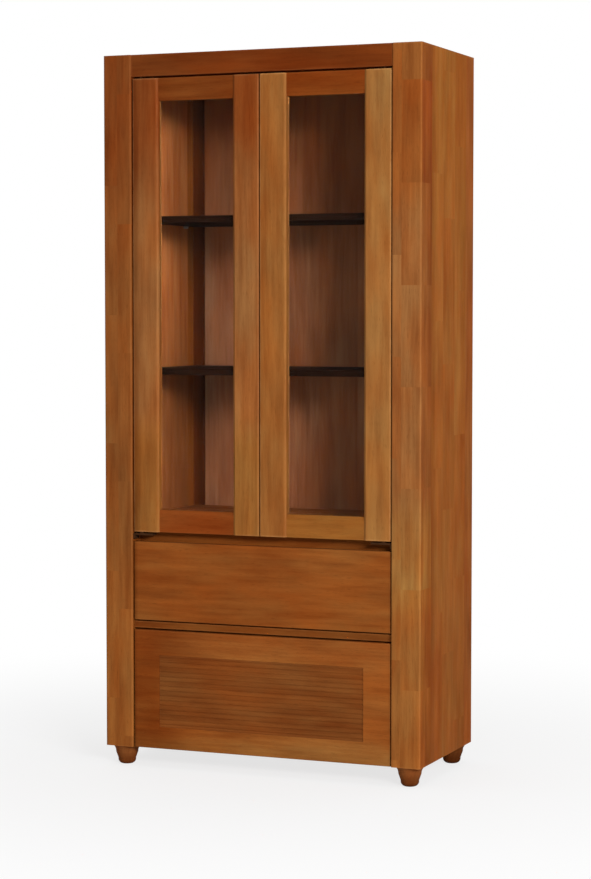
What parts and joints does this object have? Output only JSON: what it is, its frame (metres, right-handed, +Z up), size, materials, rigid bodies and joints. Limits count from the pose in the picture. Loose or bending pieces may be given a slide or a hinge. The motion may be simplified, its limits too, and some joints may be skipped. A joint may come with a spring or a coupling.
{
  "type": "bookcase with glass doors",
  "caption": "Tall wooden bookcase with glazed doors over shelves, drawers without handles below, one of them with a reeded panel, on short turned feet.",
  "frame": {"origin": "on the floor under the middle of the case", "axes": "+X to the right, +Y to the back, +Z up; the doors face -Y"},
  "size_m": [0.85, 0.4, 1.8],
  "materials": {
    "post_wood": "satin lacquer over orange-brown stain",
    "side_veneer": "satin lacquer over orange-brown stain",
    "inner_veneer": "satin lacquer over orange-brown stain",
    "core_wood": "bare",
    "rail_wood": "satin lacquer over red-brown stain",
    "back_veneer": "satin lacquer over brown stain",
    "dark_wood": "satin lacquer, very dark brown",
    "foot_wood": "satin lacquer, brown",
    "door_wood": "satin lacquer over orange-brown stain",
    "drawer_front_wood": "satin lacquer over orange-brown stain",
    "reed_wood": "satin lacquer over brown stain",
    "drawer_box_wood": "thin clear lacquer",
    "door_glass": "clear, polished",
    "black_metal": "dark bronze coat",
    "zinc_steel": "zinc plated",
    "pivot_brass": "plain",
    "catch_plastic": "brown moulded"
  },
  "bodies": {
    "case": {"front_post_left": "post_wood", "front_post_right": "post_wood", "rear_post_left": "post_wood", "rear_post_right": "post_wood", "outer_side_left": "side_veneer", "outer_side_right": "side_veneer", "inner_side_left": "inner_veneer", "inner_side_right": "inner_veneer", "side_core_battens": "core_wood", "top_rail": "rail_wood", "top_panel": "rail_wood", "ceiling_panel": "inner_veneer", "cabinet_floor": "inner_veneer", "rail_below_doors": "rail_wood", "rail_between_drawers": "rail_wood", "bottom_panel": "inner_veneer", "back_panel": "back_veneer", "back_battens": "dark_wood", "lower_shelf": "dark_wood", "upper_shelf": "dark_wood", "shelf_pegs": "zinc_steel", "front_foot_left": "foot_wood", "front_foot_right": "foot_wood", "rear_foot_left": "foot_wood", "rear_foot_right": "foot_wood", "foot_bolts": "zinc_steel", "top_pivots": "black_metal", "bottom_pivots": "black_metal", "pivot_screws": "black_metal", "door_catches": "catch_plastic", "slide_channels": "zinc_steel"},
    "left_door": {"left_door_hinge_stile": "door_wood", "left_door_meeting_stile": "door_wood", "left_door_top_rail": "door_wood", "left_door_bottom_rail": "door_wood", "left_door_glass": "door_glass", "left_door_glazing_beads": "door_wood", "left_door_pivot_sockets": "pivot_brass", "left_door_strike_plate": "zinc_steel"},
    "right_door": {"right_door_hinge_stile": "door_wood", "right_door_meeting_stile": "door_wood", "right_door_top_rail": "door_wood", "right_door_bottom_rail": "door_wood", "right_door_glass": "door_glass", "right_door_glazing_beads": "door_wood", "right_door_pivot_sockets": "pivot_brass", "right_door_strike_plate": "zinc_steel"},
    "upper_drawer": {"upper_drawer_front": "drawer_front_wood", "upper_drawer_sides": "drawer_box_wood", "upper_drawer_back": "drawer_box_wood", "upper_drawer_bottom": "drawer_box_wood", "upper_drawer_runners": "zinc_steel"},
    "lower_drawer": {"lower_drawer_front": "drawer_front_wood", "lower_drawer_reeded_panel": "reed_wood", "lower_drawer_sides": "drawer_box_wood", "lower_drawer_back": "drawer_box_wood", "lower_drawer_bottom": "drawer_box_wood", "lower_drawer_runners": "zinc_steel"},
    "upper_slide_middle": {"upper_slide_middles": "zinc_steel"},
    "lower_slide_middle": {"lower_slide_middles": "zinc_steel"}
  },
  "joints": [
    {"name": "left_door_hinge", "type": "hinge", "parent": "case", "child": "left_door", "pos_m": [-0.326, -0.188, 0.601], "axis": [0, 0, -1], "range_deg": [0, 110]},
    {"name": "right_door_hinge", "type": "hinge", "parent": "case", "child": "right_door", "pos_m": [0.326, -0.188, 0.601], "axis": [0, 0, 1], "range_deg": [0, 110]},
    {"name": "upper_drawer_slide", "type": "slide", "parent": "case", "child": "upper_drawer", "axis": [0, -1, 0], "range_m": [0, 0.32]},
    {"name": "lower_drawer_slide", "type": "slide", "parent": "case", "child": "lower_drawer", "axis": [0, -1, 0], "range_m": [0, 0.32]},
    {"name": "upper_middle_slide", "type": "slide", "parent": "case", "child": "upper_slide_middle", "axis": [0, -1, 0], "range_m": [0, 0.16]},
    {"name": "lower_middle_slide", "type": "slide", "parent": "case", "child": "lower_slide_middle", "axis": [0, -1, 0], "range_m": [0, 0.16]}
  ],
  "couplings": [
    {"joint": "upper_middle_slide", "follows": "upper_drawer_slide", "ratio": 0.5},
    {"joint": "lower_middle_slide", "follows": "lower_drawer_slide", "ratio": 0.5}
  ]
}
